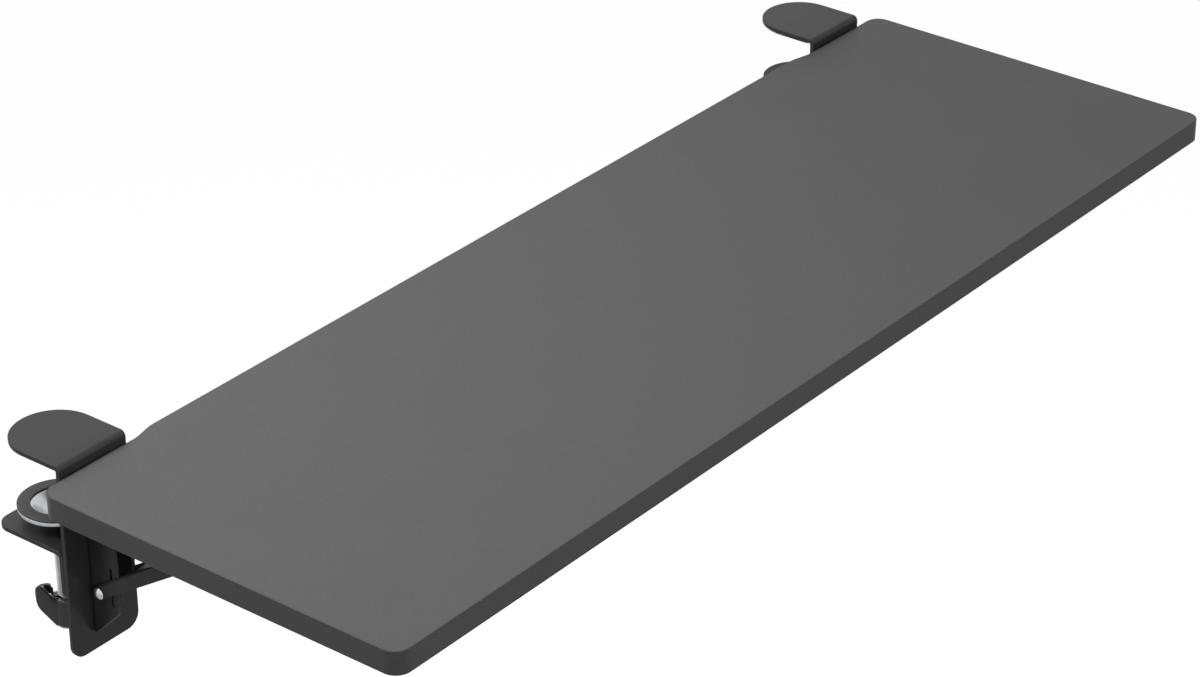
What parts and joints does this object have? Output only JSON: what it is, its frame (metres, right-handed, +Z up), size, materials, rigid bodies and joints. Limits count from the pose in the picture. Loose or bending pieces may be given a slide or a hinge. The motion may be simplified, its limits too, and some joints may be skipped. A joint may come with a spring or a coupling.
{
  "type": "clamp-on desk extender",
  "caption": "Rectangular black tray board held level with a desk top by screw clamps at its ends, with folding braces so that it hinges down in front of the desk.",
  "frame": {"origin": "midway between the clamps on the top front edge of the desk that they hold: the level of the rubber under the tongues and the plane of the back plates' rear faces", "axes": "+X to the user's right along the board, +Y from the user into the desk, +Z up"},
  "size_m": [0.8, 0.3173, 0.1275],
  "materials": {
    "black_laminate": "matte black laminate on fibreboard",
    "edge_band": "matte",
    "black_steel": "satin black powder coat",
    "zinc_steel": "bright zinc",
    "spring_steel": "blued",
    "knob_plastic": "satin",
    "bush_plastic": "satin",
    "pad_rubber": "matte",
    "foam": "matte closed-cell foam"
  },
  "bodies": {
    "clamps": {"left_clamp_bracket": "black_steel", "left_tongue_pad": "pad_rubber", "left_clamp_shelf": "black_steel", "left_weld_nut": "black_steel", "left_hinge_channel": "black_steel", "left_catch_spring": "spring_steel", "left_plate_rivets": "black_steel", "left_shelf_rivets": "black_steel", "left_hinge_pin": "zinc_steel", "left_hinge_bushes": "bush_plastic", "left_brace_rivet": "zinc_steel", "right_clamp_bracket": "black_steel", "right_tongue_pad": "pad_rubber", "right_clamp_shelf": "black_steel", "right_weld_nut": "black_steel", "right_hinge_channel": "black_steel", "right_catch_spring": "spring_steel", "right_plate_rivets": "black_steel", "right_shelf_rivets": "black_steel", "right_hinge_pin": "zinc_steel", "right_hinge_bushes": "bush_plastic", "right_brace_rivet": "zinc_steel"},
    "tray": {"tray_board": "black_laminate", "tray_edge_band": "edge_band", "left_tray_rail": "black_steel", "left_rail_screws": "zinc_steel", "right_tray_rail": "black_steel", "right_rail_screws": "zinc_steel"},
    "left_brace": {"left_brace_arm": "black_steel", "left_slot_pin": "zinc_steel"},
    "left_cup": {"left_pressure_cup": "zinc_steel", "left_cup_ring": "foam"},
    "left_screw": {"left_clamp_screw": "zinc_steel", "left_wing_knob": "knob_plastic"},
    "right_brace": {"right_brace_arm": "black_steel", "right_slot_pin": "zinc_steel"},
    "right_cup": {"right_pressure_cup": "zinc_steel", "right_cup_ring": "foam"},
    "right_screw": {"right_clamp_screw": "zinc_steel", "right_wing_knob": "knob_plastic"}
  },
  "joints": [
    {"name": "tray_fold", "type": "hinge", "parent": "clamps", "child": "tray", "pos_m": [0, -0.016, -0.0306], "axis": [1, 0, 0], "range_deg": [0, 90]},
    {"name": "left_brace_turn", "type": "hinge", "parent": "clamps", "child": "left_brace", "pos_m": [-0.3555, -0.0119, -0.0805], "axis": [1, 0, 0], "range_deg": [-0.01, 116.92]},
    {"name": "left_cup_lift", "type": "slide", "parent": "clamps", "child": "left_cup", "axis": [0, 0, 1], "range_m": [-0.002, 0.03]},
    {"name": "left_screw_turn", "type": "hinge", "parent": "left_cup", "child": "left_screw", "pos_m": [-0.3555, 0.028, -0.08], "axis": [0, 0, 1], "range_deg": [-576.1, 8640.1]},
    {"name": "right_brace_turn", "type": "hinge", "parent": "clamps", "child": "right_brace", "pos_m": [0.3555, -0.0119, -0.0805], "axis": [1, 0, 0], "range_deg": [-0.01, 116.92]},
    {"name": "right_cup_lift", "type": "slide", "parent": "clamps", "child": "right_cup", "axis": [0, 0, 1], "range_m": [-0.002, 0.03]},
    {"name": "right_screw_turn", "type": "hinge", "parent": "right_cup", "child": "right_screw", "pos_m": [0.3555, 0.028, -0.08], "axis": [0, 0, 1], "range_deg": [-576.1, 8640.1]}
  ],
  "couplings": [
    {"joint": "left_brace_turn", "follows": "tray_fold", "ratio": 1.299},
    {"joint": "left_screw_turn", "follows": "left_cup_lift", "rad_per_m": 5026.5},
    {"joint": "right_brace_turn", "follows": "tray_fold", "ratio": 1.299},
    {"joint": "right_screw_turn", "follows": "right_cup_lift", "rad_per_m": 5026.5}
  ]
}
